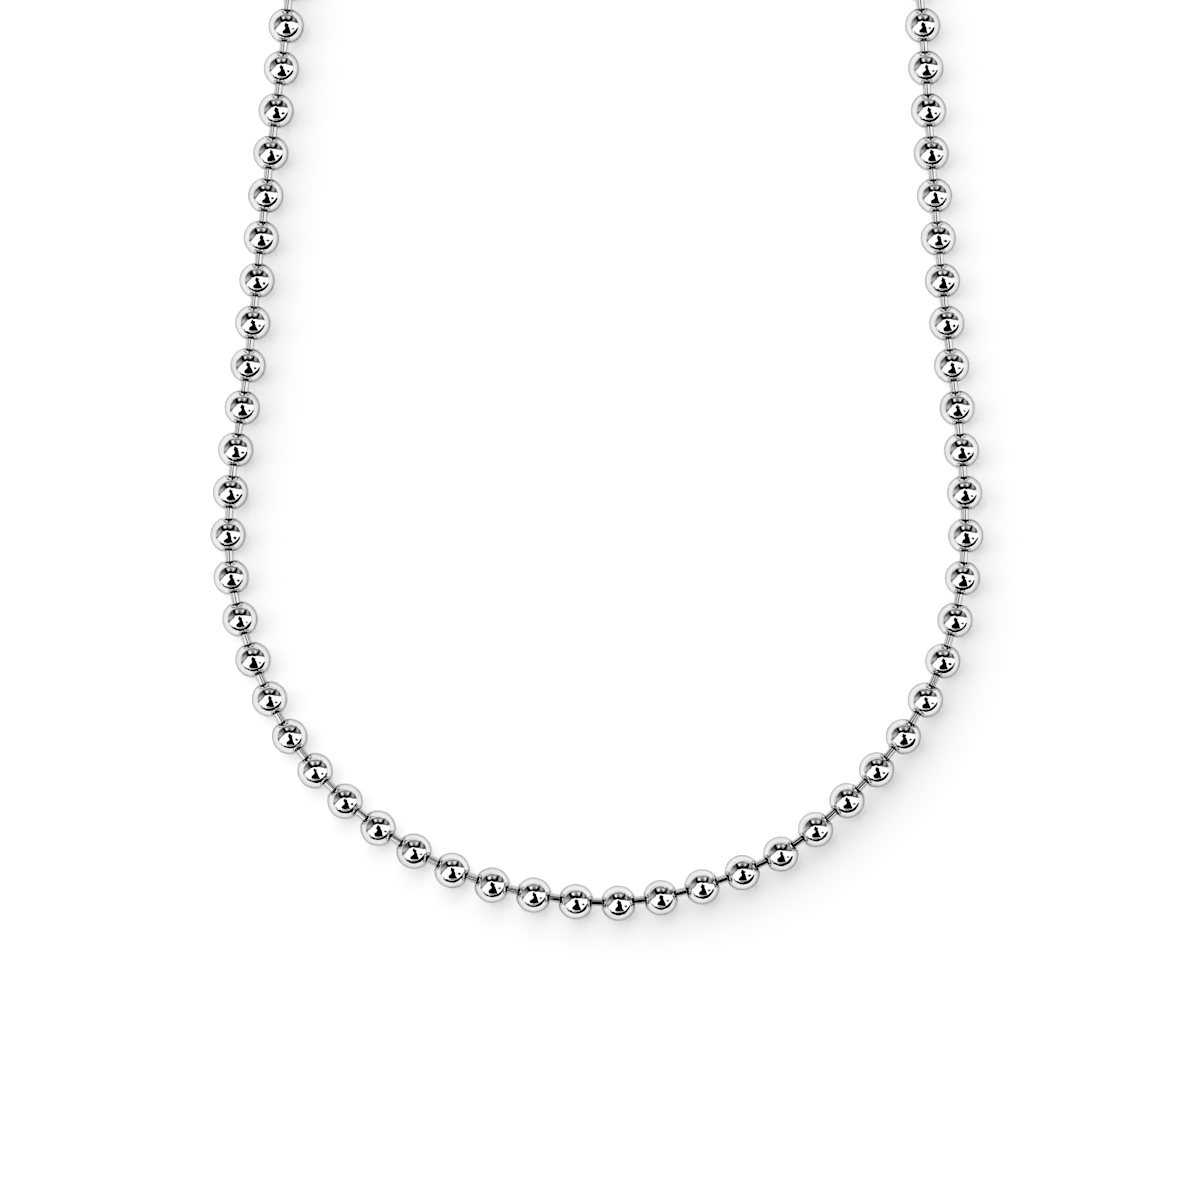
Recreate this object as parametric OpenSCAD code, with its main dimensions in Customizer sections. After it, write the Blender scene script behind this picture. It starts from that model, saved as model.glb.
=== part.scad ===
// Ball chain necklace: hollow metal balls joined by short headed pins into one loop,
// which a plain sleeve clasp closes at the back of the neck. The loop lies flat, with
// its front at -Y, its clasp at +Y and the surface that it rests on at Z = 0.
// Lengths are in millimetres.

/* [Chain] */
// Number of balls in the loop
ball_count = 82; // [60:1:110]
// Outside diameter of a ball
ball_d = 5; // [4:0.1:6]
// Thickness of a ball's wall
ball_wall = 0.4; // [0.3:0.05:0.5]
// Space between two neighbouring balls
ball_gap = 1.1; // [0.9:0.05:1.5]

/* [Link pins] */
// Diameter of a pin's wire
pin_d = 1.05; // [0.8:0.05:1.3]
// Clearance between a pin and what it passes through or sits in
pin_play = 0.12; // [0.1:0.01:0.15]
// How far a pin's head reaches past the rim of its hole
head_grip = 0.2; // [0.1:0.05:0.3]
// Length of a pin's head
head_l = 0.8; // [0.5:0.05:1]

/* [Clasp] */
// Distance along the loop between the centres of the two balls in the clasp
clasp_reach = 9.9; // [8:0.1:12]
// Thickness of the clasp's wall
clasp_wall = 0.4; // [0.3:0.05:0.5]
// Clearance between the clasp and the balls in it
clasp_play = 0.15; // [0.12:0.01:0.2]
// Clearance round a ball in the window that lets it into the clasp
window_play = 0.05; // [0.02:0.01:0.1]

/* [Hidden] */
$fn = 48;

// Route through the ball centres, seen from above and chosen by hand. It starts at the
// clasp, goes down the left strand, round the front and up the right strand.
route = [
    [0, 196.5], [-9, 196.5], [-20, 193], [-30, 185.5], [-37.5, 174.5], [-42, 161],
    [-43.5, 145], [-45, 126], [-48, 101], [-50.5, 77], [-53, 59], [-53, 47],
    [-49.5, 34], [-43, 21.5], [-33, 11.5], [-21, 4.5], [-9, 1], [3, 0], [15, 2.5],
    [26.5, 7.5], [36, 15.5], [44, 25], [49.5, 36.5], [52, 50], [51.5, 65],
    [49.5, 82], [47.5, 103], [46, 125], [44, 145], [42, 161], [37.5, 174.5],
    [30, 185.5], [20, 193], [9, 196.5]
];
// Steps in which the curve between two points of the route is measured
span_steps = 16;

ball_r = ball_d / 2;
pin_r = pin_d / 2;
cavity_r = ball_r - ball_wall;
pitch = ball_d + ball_gap;
last = ball_count - 1;
loop_l = last * pitch + clasp_reach;

// Smooth closed curve through the points of the route
function knot(i) = route[(i + len(route)) % len(route)];
function curve(i, t) =
    let (a = knot(i - 1), b = knot(i), c = knot(i + 1), d = knot(i + 2))
    b + ((c - a) * t + (2 * a - 5 * b + 4 * c - d) * t * t
        + (3 * b - a - 3 * c + d) * t * t * t) / 2;
trace = [
    for (i = [0 : len(route) - 1], k = [0 : span_steps - 1]) curve(i, k / span_steps),
    route[0]
];
steps = [for (k = [1 : len(trace) - 1]) norm(trace[k] - trace[k - 1])];
travel = [
    for (k = 0, s = 0; k <= len(steps); s = s + (k < len(steps) ? steps[k] : 0), k = k + 1) s
];

// The route is stretched to the chain's own length, then read at any distance along it
stretch = loop_l / travel[len(steps)];
route_x = [for (k = [0 : len(steps)]) [travel[k], trace[k].x] * stretch];
route_y = [for (k = [0 : len(steps)]) [travel[k], trace[k].y] * stretch];
function along(s) = [lookup(s, route_x), lookup(s, route_y)];
spots = [for (i = [0 : last]) along(clasp_reach / 2 + i * pitch)];

// The clasp is a tube with round ends, and each end sits round one of the end balls
clasp_bore_r = ball_r + clasp_play;
clasp_r = clasp_bore_r + clasp_wall;
clasp_span = norm(spots[0] - spots[last]);

// The middle of the whole outline is moved to the origin
low = [min([for (p = spots) p.x]) - ball_r, min([for (p = spots) p.y]) - ball_r];
high = [
    max([for (p = spots) p.x]) + ball_r,
    (spots[0].y + spots[last].y) / 2 + clasp_r
];
middle = (low + high) / 2;
centres = [
    for (i = [0 : last])
        let (rests_on = i == 0 || i == last ? clasp_r : ball_r)
        [spots[i].x - middle.x, spots[i].y - middle.y, rests_on]
];

// A ball's holes face halfway between its two pins, and an end ball's face its one pin
function unit(v) = v / norm(v);
function angle(a, b) = atan2(norm(cross(a, b)), a * b);
function heading(i) = unit(centres[i + 1] - centres[i]);
function facing(i) =
    i == 0 ? heading(0)
    : i == last ? heading(last - 1)
    : unit(heading(i - 1) + heading(i));
most_swing = max([for (i = [0 : last - 1]) angle(facing(i), heading(i))]);
hole_r = pin_r + pin_play + ball_r * sin(most_swing);

// A head's rim stays clear of the ball's inner wall, and the head is too wide for the hole
head_r = hole_r + head_grip;
head_out = sqrt(pow(cavity_r - pin_play, 2) - pow(head_r, 2));
head_in = head_out - head_l;

// The pins leave the clasp at a slant through a hole in each of its ends
clasp_line = unit(centres[0] - centres[last]);
clasp_hole_r = pin_r + pin_play + clasp_r * sin(angle(clasp_line, heading(0)));
slot_w = 2 * (pin_r + pin_play);
window_r = ball_r + window_play;

// Turns and moves a child so that its Z axis starts at a point and runs along a direction
module aim(point, direction) {
    translate(point)
        rotate([0, acos(direction.z), atan2(direction.y, direction.x)])
            children();
}

module ball(i) {
    aim(centres[i], facing(i))
        difference() {
            sphere(r = ball_r);
            sphere(r = cavity_r);
            cylinder(r = hole_r, h = 2 * ball_d, center = true);
        }
}

module pin(i) {
    pin_l = norm(centres[i + 1] - centres[i]);
    aim(centres[i], heading(i)) {
        translate([0, 0, head_in])
            cylinder(r = pin_r, h = pin_l - 2 * head_in);
        for (z = [head_in, pin_l - head_out])
            translate([0, 0, z])
                cylinder(r = head_r, h = head_l);
    }
}

// Round-ended rod along X, centred on the clasp
module capsule(r) {
    rotate([0, 90, 0])
        cylinder(r = r, h = clasp_span, center = true);
    for (x = [-1, 1])
        translate([x * clasp_span / 2, 0, 0])
            sphere(r = r);
}

module balls() {
    color([0.86, 0.86, 0.87])
        for (i = [0 : last])
            ball(i);
}

module link_pins() {
    color([0.72, 0.72, 0.74])
        for (i = [0 : last - 1])
            pin(i);
}

module clasp() {
    cut_l = clasp_span + 4 * clasp_r;
    color([0.8, 0.8, 0.82])
        translate((centres[0] + centres[last]) / 2)
            rotate([0, 0, atan2(clasp_line.y, clasp_line.x)])
                difference() {
                    capsule(clasp_r);
                    capsule(clasp_bore_r);
                    rotate([0, 90, 0])
                        cylinder(r = clasp_hole_r, h = cut_l, center = true);
                    translate([-cut_l / 2, -slot_w / 2, 0])
                        cube([cut_l, slot_w, 2 * clasp_r]);
                    cylinder(r = window_r, h = 2 * clasp_r);
                }
}

balls();
link_pins();
clasp();
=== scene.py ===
"""Looks of the ball chain necklace: polished balls, headed link pins and a sleeve clasp.

The places of the balls and pins come from the frame. Every length is in metres.
"""

import math
import random

import bpy
import numpy as np
from mathutils import Matrix, Vector


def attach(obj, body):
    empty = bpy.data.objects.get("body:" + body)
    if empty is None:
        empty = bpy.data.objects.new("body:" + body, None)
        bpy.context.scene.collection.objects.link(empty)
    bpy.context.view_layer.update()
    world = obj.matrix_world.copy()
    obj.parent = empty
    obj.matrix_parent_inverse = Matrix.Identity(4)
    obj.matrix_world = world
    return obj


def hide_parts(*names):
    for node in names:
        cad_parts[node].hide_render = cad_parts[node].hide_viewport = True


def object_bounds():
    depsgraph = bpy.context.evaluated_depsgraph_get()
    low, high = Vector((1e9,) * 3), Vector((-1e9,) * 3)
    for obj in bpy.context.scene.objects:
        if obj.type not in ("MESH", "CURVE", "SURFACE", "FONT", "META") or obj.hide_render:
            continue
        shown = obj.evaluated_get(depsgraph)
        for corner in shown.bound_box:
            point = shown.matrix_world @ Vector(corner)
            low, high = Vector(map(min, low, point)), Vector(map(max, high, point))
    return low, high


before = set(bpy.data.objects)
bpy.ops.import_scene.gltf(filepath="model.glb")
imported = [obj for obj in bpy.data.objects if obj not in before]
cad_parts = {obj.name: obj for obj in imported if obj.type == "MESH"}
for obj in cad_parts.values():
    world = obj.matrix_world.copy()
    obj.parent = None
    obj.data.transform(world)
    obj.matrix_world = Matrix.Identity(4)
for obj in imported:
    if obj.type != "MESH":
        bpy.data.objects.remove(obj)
cad_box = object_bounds()

MM = 0.001
random.seed(11)

# Sizes of the balls. HOLE_R is the widest hole that a ball may have
BALL_R = 2.5 * MM
BALL_WALL = 0.4 * MM
HOLE_R = 0.895 * MM
HOLE_PLAY = 0.2 * MM
LIP_R = 0.09 * MM

# The seam of a rolled ball, and how far it may turn from the side that faces the floor
SEAM_DEPTH = 0.015 * MM
SEAM_HALF_ANGLE = math.radians(2.6)
SEAM_SPREAD = math.radians(50)

# Sizes of the pins. Each has a hairline bore, so that its mesh closes without a sharp tip
PIN_R = 0.525 * MM
PIN_PLAY = 0.12 * MM
PIN_BORE_R = 0.01 * MM
HEAD_GRIP = 0.2 * MM
HEAD_L = 0.8 * MM
HEAD_ROUND = 0.12 * MM

# Sizes of the clasp
CLASP_WALL = 0.4 * MM
CLASP_PLAY = 0.15 * MM
CLASP_WINDOW_PLAY = 0.05 * MM
CLASP_WINDOW_R = BALL_R + CLASP_WINDOW_PLAY
CLASP_SLOT_W = 2 * (PIN_R + PIN_PLAY)
CLASP_HOLE_R = 1.2 * MM
CLASP_EDGE = 0.07 * MM

# Fineness of the meshes
BALL_SIDES = 60
BALL_RINGS = 36
CAVITY_RINGS = 8
SEAM_COLUMNS = 5
LIP_STEPS = 4
PIN_SIDES = 28
HEAD_STEPS = 3
CLASP_SIDES = 72
CLASP_CAP_STEPS = 14
CLASP_TUBE_STEPS = 6
CLASP_WINDOW_STEPS = 28
CLASP_EDGE_STEPS = 3
CLASP_EDGE_ANGLE = math.radians(40)
SHARP_ANGLE = math.radians(60)

# Corners of a solid that lie closer than this are one corner
WELD = 0.002 * MM

# The photograph: its size, its scale and where the chain's left and front edges are in it
PHOTO_PX = 1200
PX_PER_MM = 7
LEFT_EDGE_PX = 210.4
FRONT_EDGE_PX = 920.5
CAMERA_HEIGHT = 3.0
BLACK_POINT = 0.07
FLOOR_SIZE = 12.0
SIGHT = 20.0

# Brightness of the studio as the steel mirrors it, where 1 is the white of the picture
LAMP_LIGHT = 1.5
HORIZON_LIGHT = 1.1
DARK_LIGHT = 0.004
CEILING_LIGHT = 0.2
CORNER_LIGHT = 0.6
HALL_LIGHT = 0.25
HATCH_LIGHT = 0.45
FAR_LIGHT = 0.18

# The mirrored studio lies a little to the right and low, and its lines are slightly wavy
SKY_RIGHT = 0.03
SKY_LOW = 0.05
WAVES_ALONG_U = 0.07
WAVES_ALONG_V = 0.06
WAVE_SCALE = 4.5

# Grain of the steel: waves from forming, polishing marks and patches of tarnish
FORMING_SIZE = 1.4 * MM
POLISH_SIZE = 0.12 * MM
POLISH_HEIGHT = 0.004
TARNISH_SIZE = 3.0 * MM
TARNISH_SHADE = 0.93

# Painted shade round each ball's holes and over its hollow inside: how far it reaches beyond the
# rolled lip, its colour and its strength
HOLE_SHADE_REACH = 0.1 * MM
HOLE_SHADE_COLOR = (0.10, 0.10, 0.10)
HOLE_SHADE_SHARE = 0.9


def unit(v):
    return v / np.linalg.norm(v)


def islands(node):
    """Corner coordinates of each loose solid of a CAD node."""
    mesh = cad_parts[node].data
    co = np.empty(len(mesh.vertices) * 3)
    mesh.vertices.foreach_get("co", co)
    welded, where = np.unique((co.reshape(-1, 3) / WELD).round(), axis=0, return_inverse=True)
    edges = np.empty(len(mesh.edges) * 2, dtype=int)
    mesh.edges.foreach_get("vertices", edges)
    a, b = where.ravel()[edges].reshape(-1, 2).T
    label = np.arange(len(welded))
    while True:
        lowest = np.minimum(label[a], label[b])
        new = label.copy()
        np.minimum.at(new, a, lowest)
        np.minimum.at(new, b, lowest)
        new = new[new]
        if (new == label).all():
            break
        label = new
    return [welded[label == k] * WELD for k in np.unique(label)]


def chain_order(centres):
    """The centres in their order along the chain, from the left ball in the clasp to the right one.
    The clasp holds its two balls a little higher than the others."""
    raised = np.argsort(centres[:, 2])[-2:]
    here = raised[np.argmin(centres[raised, 0])]
    left = set(range(len(centres))) - {here}
    order = [here]
    while left:
        here = min(left, key=lambda k: np.linalg.norm(centres[k] - centres[order[-1]]))
        left.discard(here)
        order.append(here)
    return centres[order]


# The balls' centres, the pins' directions and the directions that the balls' holes face
centres = chain_order(np.array([(p.min(axis=0) + p.max(axis=0)) / 2 for p in islands("balls")]))
headings = [unit(b - a) for a, b in zip(centres[:-1], centres[1:])]
facings = [headings[0], *[unit(a + b) for a, b in zip(headings[:-1], headings[1:])], headings[-1]]


def turned(direction, roll=0.0):
    """Rotation that takes Z to a direction, after a turn about Z."""
    quaternion = Vector(direction).to_track_quat("Z", "Y")
    return np.array(quaternion.to_matrix() @ Matrix.Rotation(roll, 3, "Z"))


def arc(centre, radius, start, end, steps):
    """Points (distance from the axis, height) along an arc, from one angle to another."""
    angles = np.linspace(start, end, steps + 1)
    return [(centre[0] + radius * math.cos(a), centre[1] + radius * math.sin(a)) for a in angles]


def revolved(profile, angles):
    """Corners and faces of a closed profile turned about Z."""
    r, z = np.array(profile).T
    angles = np.asarray(angles)[:, None]
    corners = np.stack([r * np.cos(angles), r * np.sin(angles), z + 0 * angles], axis=-1)
    m, n = len(angles), len(profile)
    turn, step = np.meshgrid(np.arange(m), np.arange(n), indexing="ij")
    here, beyond = turn * n, (turn + 1) % m * n
    next_step = (step + 1) % n
    faces = np.stack([here + step, beyond + step, beyond + next_step, here + next_step], axis=-1)
    return corners.reshape(-1, 3), faces.reshape(-1, 4)


def placed(shape, centre, direction, roll=0.0):
    """A shape turned from Z to a direction and moved to its centre."""
    corners, faces, hole_shade = shape
    return corners @ turned(direction, roll).T + centre, faces, hole_shade


def joined(name, shapes):
    """One object made of many loose shapes, each given as (corners, faces, hole_shade). The
    hole_shade, a painted shade, is kept on each corner for the material."""
    corners, faces, hole_shade, start = [], [], [], 0
    for points, quads, dark in shapes:
        corners.append(points)
        faces.append(quads + start)
        hole_shade.append(dark)
        start += len(points)
    mesh = bpy.data.meshes.new(name)
    mesh.from_pydata(np.concatenate(corners).tolist(), [], np.concatenate(faces).tolist())
    mesh.attributes.new("hole_shade", "FLOAT", "POINT").data.foreach_set("value", np.concatenate(hole_shade))
    mesh.shade_smooth()
    mesh.update()
    thing = bpy.data.objects.new(name, mesh)
    bpy.context.scene.collection.objects.link(thing)
    return thing


def ball_shape(hole_r):
    """A hollow ball round Z, open at both ends, with its rims rolled over and a seam along +X."""
    lip_out = BALL_R - LIP_R
    lip_z = math.sqrt(lip_out ** 2 - (hole_r + LIP_R) ** 2)
    lip_angle = math.atan2(lip_z, hole_r + LIP_R)
    cavity_r = BALL_R - BALL_WALL
    cavity_angle = math.acos(hole_r / cavity_r)
    outer = arc((0, 0), BALL_R, -lip_angle, lip_angle, BALL_RINGS)
    top_lip = arc((hole_r + LIP_R, lip_z), LIP_R, lip_angle, math.pi, LIP_STEPS)[1:]
    inner = arc((0, 0), cavity_r, cavity_angle, -cavity_angle, CAVITY_RINGS)
    bottom_lip = [(r, -z) for r, z in reversed(top_lip)]
    profile = outer + top_lip + inner + bottom_lip

    seam = np.linspace(-SEAM_HALF_ANGLE, SEAM_HALF_ANGLE, SEAM_COLUMNS)
    beside_seam = BALL_SIDES - SEAM_COLUMNS
    rest = np.linspace(SEAM_HALF_ANGLE, 2 * math.pi - SEAM_HALF_ANGLE, beside_seam + 2)[1:-1]
    corners, faces = revolved(profile, [*seam, *rest])
    away = np.abs(np.arctan2(corners[:, 1], corners[:, 0])) / SEAM_HALF_ANGLE
    radius = np.linalg.norm(corners, axis=1)
    outside = radius > cavity_r + BALL_WALL / 2
    depth = SEAM_DEPTH * (1 + np.cos(math.pi * np.clip(away, 0, 1))) / 2 * outside

    off_axis = np.hypot(corners[:, 0], corners[:, 1])
    # Painted shade: full over the hollow inside, and on the outside fading out within a short reach
    # beyond the rolled lip of each hole
    hole_shade = np.where(outside, np.clip(1 - (off_axis - hole_r - LIP_R) / HOLE_SHADE_REACH, 0, 1), 1)
    return corners * (1 - depth / radius)[:, None], faces, hole_shade


def own_hole(k):
    """The hole that a ball needs for the slant of its pins."""
    own_pins = headings[max(k - 1, 0):k + 1]
    swing = max(np.linalg.norm(np.cross(facings[k], heading)) for heading in own_pins)
    return min(PIN_R + HOLE_PLAY + BALL_R * swing, HOLE_R)


def seam_roll(direction):
    """A turn about the ball's axis that puts its seam near the side that faces the floor."""
    down = turned(direction).T @ np.array([0.0, 0.0, -1.0])
    return math.atan2(down[1], down[0]) + random.uniform(-SEAM_SPREAD, SEAM_SPREAD)


def pin_shape(length):
    """A pin from one ball's centre to the next along Z: a wire with a rounded head at each end."""
    head_r = HOLE_R + HEAD_GRIP
    head_out = math.sqrt((BALL_R - BALL_WALL - PIN_PLAY) ** 2 - head_r ** 2)
    head_in = head_out - HEAD_L
    rim_r = head_r - HEAD_ROUND
    quarter = math.pi / 2
    half = [(PIN_BORE_R, head_in), (rim_r, head_in)]
    half += arc((rim_r, head_in + HEAD_ROUND), HEAD_ROUND, -quarter, 0, HEAD_STEPS)[1:]
    half += arc((rim_r, head_out - HEAD_ROUND), HEAD_ROUND, 0, quarter, HEAD_STEPS)
    neck = (PIN_R + HEAD_ROUND, head_out + HEAD_ROUND)
    half += arc(neck, HEAD_ROUND, -quarter, -2 * quarter, HEAD_STEPS)
    wire = [(PIN_R, length * k / 6) for k in (2, 3, 4)]
    profile = half + wire + [(r, length - z) for r, z in reversed(half)]
    corners, faces = revolved(profile, np.linspace(0, 2 * math.pi, PIN_SIDES, endpoint=False))
    return corners, faces, np.zeros(len(corners))


def clasp_skin(radius, span):
    """One skin of the clasp as a grid of points: stations along X, and at each one the points round
    it from one edge of the slot in its top to the other edge. The window widens the slot."""
    hole_angle = math.asin(CLASP_HOLE_R / radius)
    cap = arc((span / 2, 0), radius, hole_angle, math.pi / 2, CLASP_CAP_STEPS)
    corner = math.asin(CLASP_SLOT_W / 2 / CLASP_WINDOW_R)
    window_edge = arc((0, 0), CLASP_WINDOW_R, corner, math.pi - corner, CLASP_WINDOW_STEPS)
    window_x = [x for x, y in window_edge]
    tube_x = list(np.linspace(span / 2, window_x[0], CLASP_TUBE_STEPS + 1))[1:-1]
    half = cap + [(x, radius) for x in tube_x]
    stations = half + [(x, radius) for x in window_x] + [(-x, r) for x, r in reversed(half)]
    x, r = np.array(stations).T
    window = np.sqrt(np.clip(CLASP_WINDOW_R ** 2 - x ** 2, 0, None))
    slot_angle = np.arcsin(np.maximum(window, CLASP_SLOT_W / 2) / r)
    share = np.linspace(0, 1, CLASP_SIDES + 1)[None, :]
    angles = slot_angle[:, None] + (2 * math.pi - 2 * slot_angle[:, None]) * share
    x, r = x[:, None], r[:, None]
    return np.stack([x + 0 * angles, r * np.sin(angles), r * np.cos(angles)], axis=-1)


def clasp_shape(span):
    """The sleeve along X: its outer and inner skin, and the wall along their common rim."""
    bore_r = BALL_R + CLASP_PLAY
    outer = clasp_skin(bore_r + CLASP_WALL, span)
    inner = clasp_skin(bore_r, span)
    m, n = outer.shape[:2]
    index = np.arange(m * n).reshape(m, n)
    quads = np.stack([index[:-1, :-1], index[:-1, 1:], index[1:, 1:], index[1:, :-1]], axis=-1)
    quads = quads.reshape(-1, 4)
    rim = np.concatenate([index[0, :-1], index[:-1, -1], index[-1, :0:-1], index[:0:-1, 0]])
    onward = np.roll(rim, -1)
    walls = np.stack([onward, rim, rim + m * n, onward + m * n], axis=-1)
    corners = np.concatenate([outer.reshape(-1, 3), inner.reshape(-1, 3)])
    faces = np.concatenate([quads, quads[:, ::-1] + m * n, walls])
    return corners, faces, np.zeros(len(corners))


class Signal:
    """A number that shader nodes work out, written as plain arithmetic."""

    def __init__(self, tree, socket):
        self.tree, self.socket = tree, socket

    def wire(self, target):
        self.tree.links.new(self.socket, target)

    def math(self, operation, *others, clamp=False):
        node = self.tree.nodes.new("ShaderNodeMath")
        node.operation, node.use_clamp = operation, clamp
        self.wire(node.inputs[0])
        for place, other in zip(node.inputs[1:], others):
            if isinstance(other, Signal):
                other.wire(place)
            else:
                place.default_value = other
        return Signal(self.tree, node.outputs[0])

    def __add__(self, other):
        return self.math("ADD", other)

    def __sub__(self, other):
        return self.math("SUBTRACT", other)

    def __mul__(self, other):
        return self.math("MULTIPLY", other)

    def __truediv__(self, other):
        return self.math("DIVIDE", other)

    __radd__, __rmul__ = __add__, __mul__

    def most(self, other):
        return self.math("MAXIMUM", other)

    def least(self, other):
        return self.math("MINIMUM", other)

    def root(self):
        return self.math("SQRT")

    def clamped(self):
        return self.math("ADD", 0.0, clamp=True)

    def off(self):
        """One minus this signal."""
        return self * -1.0 + 1.0

    def rise(self, low, high):
        """Smooth step from 0 at low to 1 at high."""
        node = self.tree.nodes.new("ShaderNodeMapRange")
        node.interpolation_type = "SMOOTHSTEP"
        self.wire(node.inputs["Value"])
        node.inputs["From Min"].default_value = low
        node.inputs["From Max"].default_value = high
        return Signal(self.tree, node.outputs["Result"])


def distance(x, y):
    return (x * x + y * y).root()


def blob(u, v, middle, radii, soft):
    """1 inside an ellipse and 0 outside, with a soft edge."""
    away = distance((u - middle[0]) / radii[0], (v - middle[1]) / radii[1])
    return away.rise(1 - soft, 1 + soft).off()


def stroke(u, v, start, end, start_r, end_r, soft=0.015):
    """1 along a straight brush stroke whose half width changes from start to end."""
    du, dv = end[0] - start[0], end[1] - start[1]
    share = (((u - start[0]) * du + (v - start[1]) * dv) / (du * du + dv * dv)).clamped()
    away = distance(u - start[0] - share * du, v - start[1] - share * dv)
    return (away - share * (end_r - start_r) - start_r).rise(-soft, soft).off()


def path(u, v, points):
    """1 along joined strokes, given as (u, v, half width)."""
    whole = None
    for a, b in zip(points[:-1], points[1:]):
        part = stroke(u, v, a[:2], b[:2], a[2], b[2])
        whole = part if whole is None else whole.most(part)
    return whole


def ceiling_light(u, v):
    """The grey ceiling above the lamps. It glows in its left corner, round the windows, at a hatch
    on the right and at its far end."""
    return (
        v.rise(0.08, 0.40).off() * u.rise(-0.42, -0.32).off() * CORNER_LIGHT
        + blob(u, v, (-0.02, 0.52), (0.28, 0.10), 0.5) * HALL_LIGHT
        + blob(u, v, (0.44, 0.41), (0.08, 0.11), 0.5) * HATCH_LIGHT
        + v.rise(0.50, 0.60) * FAR_LIGHT + CEILING_LIGHT
    )


def dark_things(u, v):
    """The beams and the post on the ceiling, the camera on its stand, a switch in one lamp and the
    edge of the table."""
    beams = path(u, v, [
        (-0.38, 0.57, 0.02), (-0.31, 0.38, 0.04), (-0.23, 0.28, 0.05), (-0.04, 0.35, 0.045),
        (0.12, 0.31, 0.045), (0.22, 0.33, 0.045), (0.33, 0.56, 0.025),
    ])
    post = path(u, v, [(-0.02, 0.38, 0.04), (-0.03, 0.56, 0.02)]) * 0.4
    head = path(u, v, [(-0.02, 0.17, 0.05), (0.0, 0.09, 0.115)])
    neck = path(u, v, [(0.02, 0.05, 0.07), (0.04, -0.12, 0.085)])
    stand = stroke(u, v, (0.06, -0.12), (0.03, -0.30), 0.09, 0.255).least(v.rise(-0.43, -0.40))
    table_edge = path(u, v, [
        (-0.49, -0.34, 0.03), (-0.41, -0.45, 0.04), (-0.24, -0.55, 0.05), (0.0, -0.60, 0.065),
        (0.21, -0.555, 0.075), (0.40, -0.44, 0.075), (0.56, -0.28, 0.07), (0.64, -0.12, 0.05),
    ])
    switch = blob(u, v, (0.39, -0.13), (0.085, 0.055), 0.3)
    return beams.most(post).most(head).most(neck).most(stand).most(table_edge).most(switch)


def studio_light(u, v):
    """Brightness of the studio. It is drawn as a polished ball seen from above shows it, with u to
    the right and v up in shares of the ball's radius: a pale horizon, two big lamps with the dark
    camera on its stand between them, dark beams and a grey ceiling above, and the dark edge of the
    table below."""
    room = blob(u, v, (0.0, 0.02), (0.69, 0.66), 0.02)
    wall_edge = room - blob(u, v, (0.005, 0.02), (0.64, 0.625), 0.03)
    lamp_top = ((u + 0.33) * 1.07 + 0.18).least(u * -0.15 + 0.275) - v
    ceiling = lamp_top.rise(-0.012, 0.012).off()
    windows = blob(u, v, (-0.17, 0.48), (0.075, 0.085), 0.5).most(
        blob(u, v, (0.12, 0.50), (0.075, 0.085), 0.5) * 0.8)
    streak = path(u, v, [(-0.66, -0.13, 0.05), (-0.50, 0.03, 0.03), (-0.33, 0.19, 0.035)])
    step = blob(u, v, (0.05, -0.47), (0.24, 0.05), 0.4)

    level = ceiling.off() * LAMP_LIGHT + ceiling * ceiling_light(u, v)
    level = level.most(windows * ceiling * LAMP_LIGHT) * (streak * 0.6).off() * (step * 0.6).off()
    light = (level * dark_things(u, v).off() + DARK_LIGHT) * room + room.off() * HORIZON_LIGHT
    return light * (wall_edge * 0.3).off()


def studio_sky():
    """The studio round the necklace, as the steel mirrors it. The lamps light the floor instead."""
    world = bpy.data.worlds.new("studio")
    bpy.context.scene.world = world
    world.use_nodes = True
    world.cycles_visibility.diffuse = False
    tree = world.node_tree
    tree.nodes.clear()
    coordinates = tree.nodes.new("ShaderNodeTexCoord")
    split = tree.nodes.new("ShaderNodeSeparateXYZ")
    tree.links.new(coordinates.outputs["Generated"], split.inputs[0])
    x, y, z = [Signal(tree, split.outputs[k]) for k in range(3)]
    # A ball seen from above shows the direction (x, y, z) at (x, y) divided by this
    scale = ((z + 1.0) * 2.0).most(0.02).root()

    waves = tree.nodes.new("ShaderNodeTexNoise")
    waves.inputs["Scale"].default_value = WAVE_SCALE
    waves.inputs["Detail"].default_value = 0.0
    tree.links.new(coordinates.outputs["Generated"], waves.inputs["Vector"])
    wave = Signal(tree, waves.outputs["Fac"]) - 0.5
    u = x / scale + wave * WAVES_ALONG_U - SKY_RIGHT
    v = y / scale + wave * WAVES_ALONG_V + SKY_LOW

    background = tree.nodes.new("ShaderNodeBackground")
    studio_light(u, v).wire(background.inputs["Strength"])
    output = tree.nodes.new("ShaderNodeOutputWorld")
    tree.links.new(background.outputs[0], output.inputs["Surface"])


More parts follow.
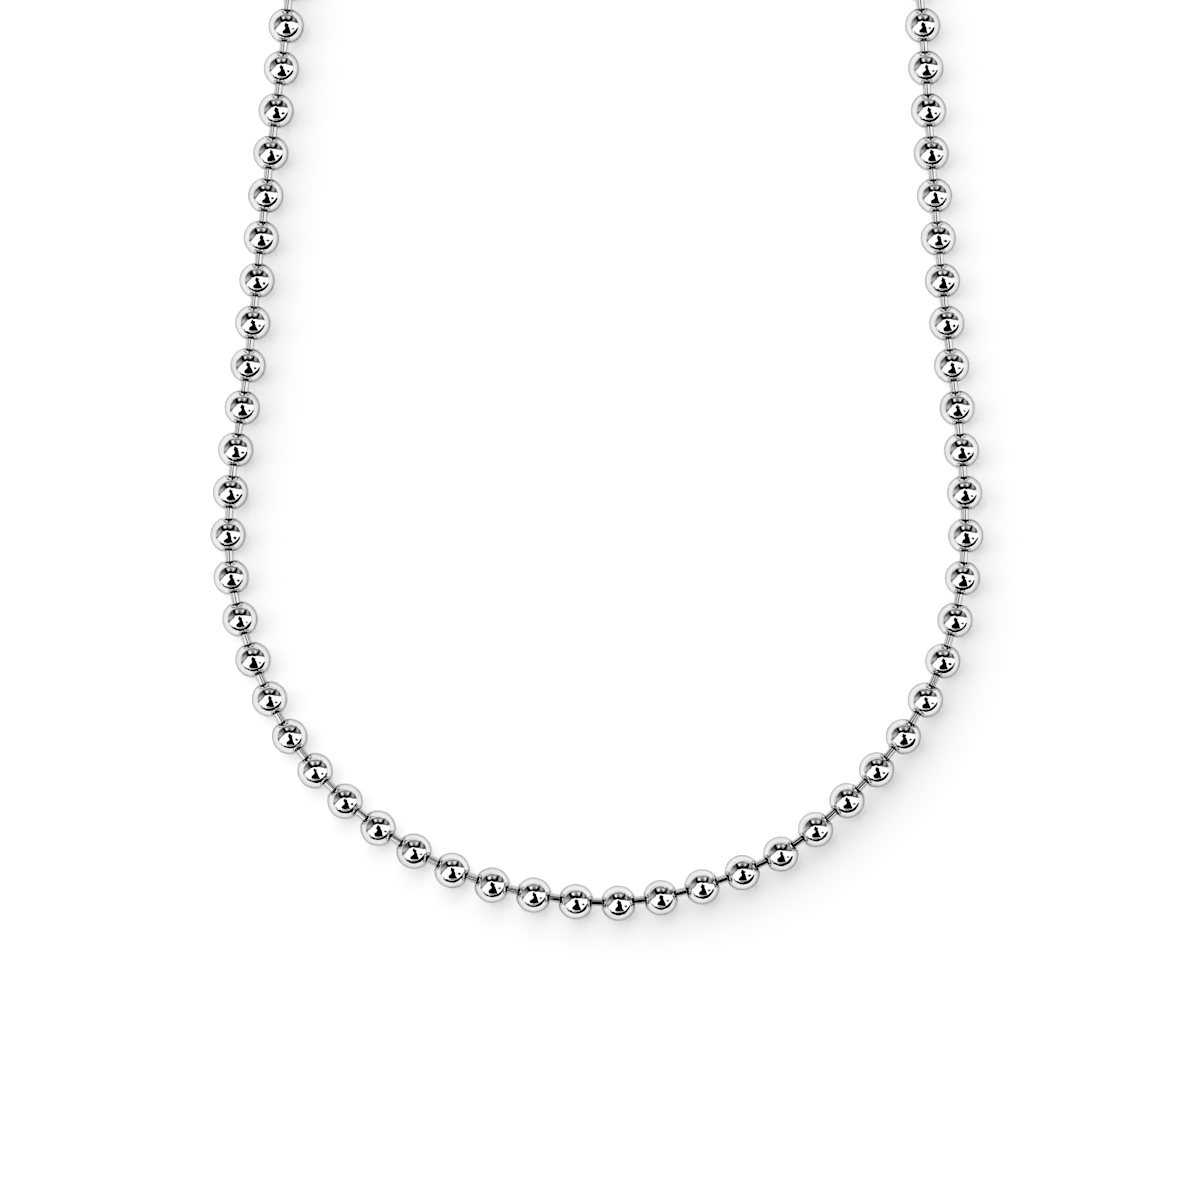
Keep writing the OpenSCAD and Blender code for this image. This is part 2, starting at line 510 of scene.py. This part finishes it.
def steel(name, color, edge_shade, gloss, wave):
    """Polished metal: soft waves from forming, fine polishing marks, slight tarnish, and painted
    shade where the corners' hole_shade says. Of the light that it gets at a steep slant it keeps the
    share edge_shade. Its roughness is about gloss, and wave is the height of the waves."""
    material = bpy.data.materials.new(name)
    material.use_nodes = True
    tree = material.node_tree
    shader = tree.nodes["Principled BSDF"]
    shader.inputs["Metallic"].default_value = 1.0
    # A metal's tint is its shade where it is seen at a slant
    shader.inputs["Specular Tint"].default_value = (edge_shade, edge_shade, edge_shade, 1)
    place = tree.nodes.new("ShaderNodeTexCoord").outputs["Object"]

    def noise(size, detail):
        node = tree.nodes.new("ShaderNodeTexNoise")
        node.inputs["Scale"].default_value = 1 / size
        node.inputs["Detail"].default_value = detail
        tree.links.new(place, node.inputs["Vector"])
        return Signal(tree, node.outputs["Fac"])

    def mixed(first, second, share):
        """Colour between two colours, each a fixed one or a socket."""
        node = tree.nodes.new("ShaderNodeMix")
        node.data_type = "RGBA"
        for side, tone in (("A", first), ("B", second)):
            if isinstance(tone, tuple):
                node.inputs[side].default_value = (*tone, 1)
            else:
                tree.links.new(tone, node.inputs[side])
        share.wire(node.inputs["Factor"])
        return node.outputs["Result"]

    forming = noise(FORMING_SIZE, 1)
    polish = noise(POLISH_SIZE, 4)
    tarnish = noise(TARNISH_SIZE, 3)
    (polish * gloss + gloss * 0.5).wire(shader.inputs["Roughness"])
    tarnished = tuple(c * TARNISH_SHADE for c in color)
    clean = mixed(tarnished, color, tarnish.rise(0.3, 0.6))
    # Painted shade: the corners' hole_shade darkens the colour towards near black round the balls'
    # holes and inside them
    attribute = tree.nodes.new("ShaderNodeAttribute")
    attribute.attribute_name = "hole_shade"
    hole_shade = Signal(tree, attribute.outputs["Fac"]) * HOLE_SHADE_SHARE
    tree.links.new(mixed(clean, HOLE_SHADE_COLOR, hole_shade), shader.inputs["Base Color"])
    bump = tree.nodes.new("ShaderNodeBump")
    bump.inputs["Strength"].default_value = 1.0
    bump.inputs["Distance"].default_value = wave
    (forming + polish * POLISH_HEIGHT).wire(bump.inputs["Height"])
    tree.links.new(bump.outputs["Normal"], shader.inputs["Normal"])
    return material


BALL_STEEL = steel("ball_steel", (0.86, 0.86, 0.865), 0.4, 0.03, 0.06 * MM)
PIN_STEEL = steel("pin_steel", (0.75, 0.75, 0.755), 0.02, 0.06, 0.02 * MM)
CLASP_STEEL = steel("clasp_steel", (0.82, 0.82, 0.825), 0.5, 0.06, 0.03 * MM)


def finished(piece, material, node):
    piece.data.materials.append(material)
    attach(piece, "root")
    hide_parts(node)


def make_balls():
    names = ["balls_left_back", "balls_left_front", "balls_right_front", "balls_right_back"]
    for name, members in zip(names, np.array_split(np.arange(len(centres)), len(names))):
        shapes = [
            placed(ball_shape(own_hole(k)), centres[k], facings[k], seam_roll(facings[k]))
            for k in members
        ]
        piece = joined(name, shapes)
        piece.data.set_sharp_from_angle(angle=SHARP_ANGLE)
        finished(piece, BALL_STEEL, "balls")


def make_pins():
    shapes = []
    for k, heading in enumerate(headings):
        length = np.linalg.norm(centres[k + 1] - centres[k])
        shapes.append(placed(pin_shape(length), centres[k], heading))
    piece = joined("link_pins_fine", shapes)
    piece.data.set_sharp_from_angle(angle=SHARP_ANGLE)
    finished(piece, PIN_STEEL, "link_pins")


def make_clasp():
    """A sleeve open along its top, with a round window that lets a ball in."""
    middle = (centres[0] + centres[-1]) / 2
    line = centres[0] - centres[-1]
    piece = joined("clasp_sleeve", [clasp_shape(np.linalg.norm(line))])
    bevel = piece.modifiers.new("edge", "BEVEL")
    bevel.width, bevel.segments = CLASP_EDGE, CLASP_EDGE_STEPS
    bevel.limit_method, bevel.angle_limit = "ANGLE", CLASP_EDGE_ANGLE
    bevel.harden_normals = True
    graph = bpy.context.evaluated_depsgraph_get()
    piece.data = bpy.data.meshes.new_from_object(piece.evaluated_get(graph))
    piece.modifiers.clear()
    turn = Matrix.Rotation(math.atan2(line[1], line[0]), 4, "Z")
    piece.data.transform(Matrix.Translation(middle) @ turn)
    finished(piece, CLASP_STEEL, "clasp")


def make_floor():
    bpy.ops.mesh.primitive_plane_add(size=FLOOR_SIZE)
    floor = bpy.context.object
    floor.name = "floor"
    material = bpy.data.materials.new("pale_floor")
    material.use_nodes = True
    shader = material.node_tree.nodes["Principled BSDF"]
    shader.inputs["Base Color"].default_value = (0.9, 0.9, 0.9, 1)
    shader.inputs["Roughness"].default_value = 1.0
    shader.inputs["Specular IOR Level"].default_value = 0.0
    floor.data.materials.append(material)


def lamp(name, toward, strength, degrees):
    """A soft light from far away on one side, as wide as an angle in degrees. It isn't mirrored."""
    light = bpy.data.lights.new(name, "SUN")
    light.energy, light.angle = strength, math.radians(degrees)
    thing = bpy.data.objects.new(name, light)
    thing.rotation_euler = Vector(toward).to_track_quat("Z", "Y").to_euler()
    thing.visible_glossy = False
    bpy.context.scene.collection.objects.link(thing)


def make_camera():
    """Straight above the necklace, at the photograph's scale."""
    low = cad_box[0]
    half_px = PHOTO_PX / 2
    x = low.x + (half_px - LEFT_EDGE_PX) / PX_PER_MM * MM
    y = low.y + (FRONT_EDGE_PX - half_px) / PX_PER_MM * MM
    half_width = half_px / PX_PER_MM * MM
    data = bpy.data.cameras.new("camera")
    data.lens = data.sensor_width / 2 * (CAMERA_HEIGHT - BALL_R) / half_width
    data.clip_end = SIGHT
    camera = bpy.data.objects.new("camera", data)
    camera.location = (x, y, CAMERA_HEIGHT)
    bpy.context.scene.collection.objects.link(camera)
    bpy.context.scene.camera = camera


def develop():
    """The hard contrast of a product photograph: deep shades close up to black."""
    view = bpy.context.scene.view_settings
    view.view_transform = "Standard"
    view.use_curve_mapping = True
    view.curve_mapping.black_level = [BLACK_POINT] * 3
    view.curve_mapping.update()


make_balls()
make_pins()
make_clasp()
make_floor()
make_camera()
studio_sky()
lamp("key", (-0.84, 1.0, 0.75), 3.45, 105)
lamp("fill", (0.0, 0.0, 1.0), 1.8, 7)
develop()
